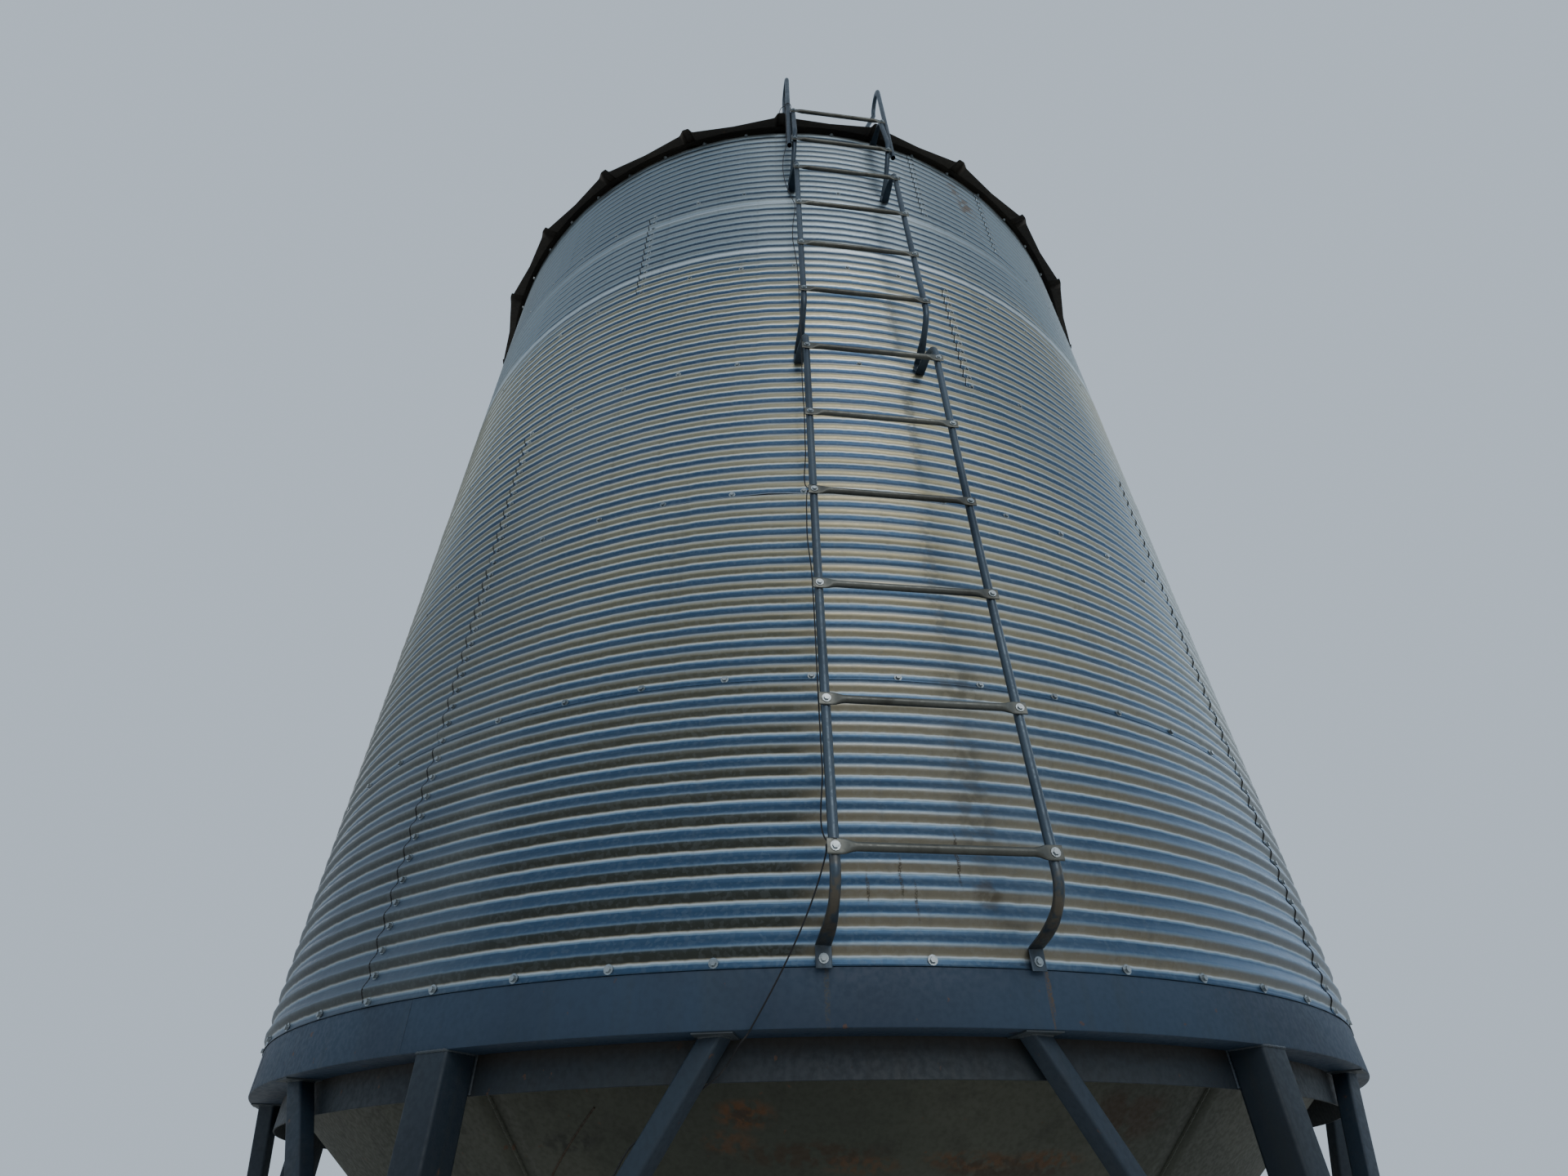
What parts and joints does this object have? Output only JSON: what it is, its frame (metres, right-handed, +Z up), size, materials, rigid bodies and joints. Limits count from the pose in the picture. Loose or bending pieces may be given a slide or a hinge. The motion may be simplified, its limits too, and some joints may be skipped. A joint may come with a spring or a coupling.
{
  "type": "grain silo",
  "caption": "Corrugated steel grain silo with a ribbed cone roof and an outside ladder, standing on a hopper cone with braced legs.",
  "frame": {"origin": "middle of the whole footprint at ground level, which is 59 mm in front of the bin's upright axis because the ladder stands out at the front", "axes": "+Z up along the bin's axis, -Y towards the ladder side, +X to the right of somebody who faces the ladder"},
  "size_m": [4.3822, 4.5006, 7.7888],
  "materials": {
    "galvanised_steel": "weathered hot-dip galvanised, dull with spangle",
    "blue_paint": "worn dark blue-grey paint with rust streaks",
    "cone_paint": "dull olive-grey paint with rust patches",
    "black_rope": "thin laid cord, matt black"
  },
  "bodies": {
    "root": {"wall_ring_1": "galvanised_steel", "wall_ring_2": "galvanised_steel", "wall_ring_3": "galvanised_steel", "wall_ring_4": "galvanised_steel", "wall_ring_5": "galvanised_steel", "wall_ring_6": "galvanised_steel", "ring_beam": "blue_paint", "hopper_skirt": "blue_paint", "outlet_collar": "cone_paint", "outlet_gate": "galvanised_steel", "gate_frame": "galvanised_steel", "cone_gore_1": "cone_paint", "cone_gore_2": "cone_paint", "cone_gore_3": "cone_paint", "cone_gore_4": "cone_paint", "cone_gore_5": "cone_paint", "cone_gore_6": "cone_paint", "leg_1": "blue_paint", "foot_plate_1": "blue_paint", "leg_2": "blue_paint", "foot_plate_2": "blue_paint", "leg_3": "blue_paint", "foot_plate_3": "blue_paint", "leg_4": "blue_paint", "foot_plate_4": "blue_paint", "leg_5": "blue_paint", "foot_plate_5": "blue_paint", "leg_6": "blue_paint", "foot_plate_6": "blue_paint", "brace_1_left": "blue_paint", "brace_1_right": "blue_paint", "brace_2_left": "blue_paint", "brace_2_right": "blue_paint", "brace_3_left": "blue_paint", "brace_3_right": "blue_paint", "brace_4_left": "blue_paint", "brace_4_right": "blue_paint", "brace_5_left": "blue_paint", "brace_5_right": "blue_paint", "brace_6_left": "blue_paint", "brace_6_right": "blue_paint", "roof_sheet": "galvanised_steel", "peak_collar": "galvanised_steel", "fill_lid": "galvanised_steel", "ladder_lower": "galvanised_steel", "ladder_middle": "galvanised_steel", "ladder_top": "galvanised_steel", "grab_rail_left": "galvanised_steel", "grab_rail_right": "galvanised_steel", "lid_rope": "black_rope", "rope_knot": "black_rope"}
  },
  "joints": []
}
